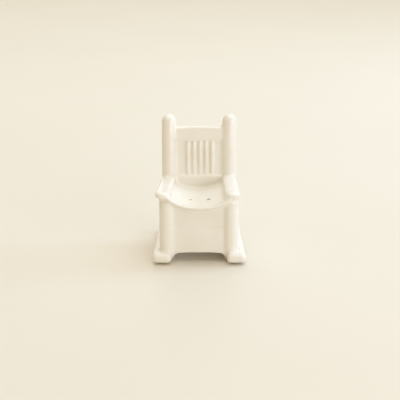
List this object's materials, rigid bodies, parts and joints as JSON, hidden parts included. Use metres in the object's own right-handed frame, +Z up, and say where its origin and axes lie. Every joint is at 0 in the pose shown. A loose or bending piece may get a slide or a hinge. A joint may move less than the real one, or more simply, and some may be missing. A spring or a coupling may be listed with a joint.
{
  "type": "miniature rocking chair",
  "caption": "Miniature rocking chair in white glazed porcelain, with a hollow box under the dished seat, pour holes in the seat and a pull-out stopper underneath.",
  "frame": {"origin": "on the floor, under the middle of the chair's overall box, midway between the four rocker tips", "axes": "+Z up, -Y the way the sitter faces, +X to the right as seen from the front"},
  "size_m": [0.0574, 0.0582, 0.082],
  "materials": {
    "glazed_porcelain": "glossy",
    "stopper_rubber": "matte"
  },
  "bodies": {
    "chair": {"rocker_left": "glazed_porcelain", "rocker_right": "glazed_porcelain", "back_post_left": "glazed_porcelain", "back_post_right": "glazed_porcelain", "front_leg_left": "glazed_porcelain", "front_leg_right": "glazed_porcelain", "arm_left": "glazed_porcelain", "arm_right": "glazed_porcelain", "side_panel_left": "glazed_porcelain", "side_panel_right": "glazed_porcelain", "crest_rail": "glazed_porcelain", "lower_back_rail": "glazed_porcelain", "back_panel": "glazed_porcelain", "back_rib_1": "glazed_porcelain", "back_rib_2": "glazed_porcelain", "back_rib_3": "glazed_porcelain", "back_rib_4": "glazed_porcelain", "back_rib_5": "glazed_porcelain", "seat": "glazed_porcelain", "apron": "glazed_porcelain", "front_panel": "glazed_porcelain", "front_rail": "glazed_porcelain", "rear_panel": "glazed_porcelain", "base_plate": "glazed_porcelain"},
    "stopper": {"stopper": "stopper_rubber"}
  },
  "joints": [
    {"name": "stopper_pull", "type": "slide", "parent": "chair", "child": "stopper", "axis": [0, 0, -1], "range_m": [0, 0.016]}
  ]
}
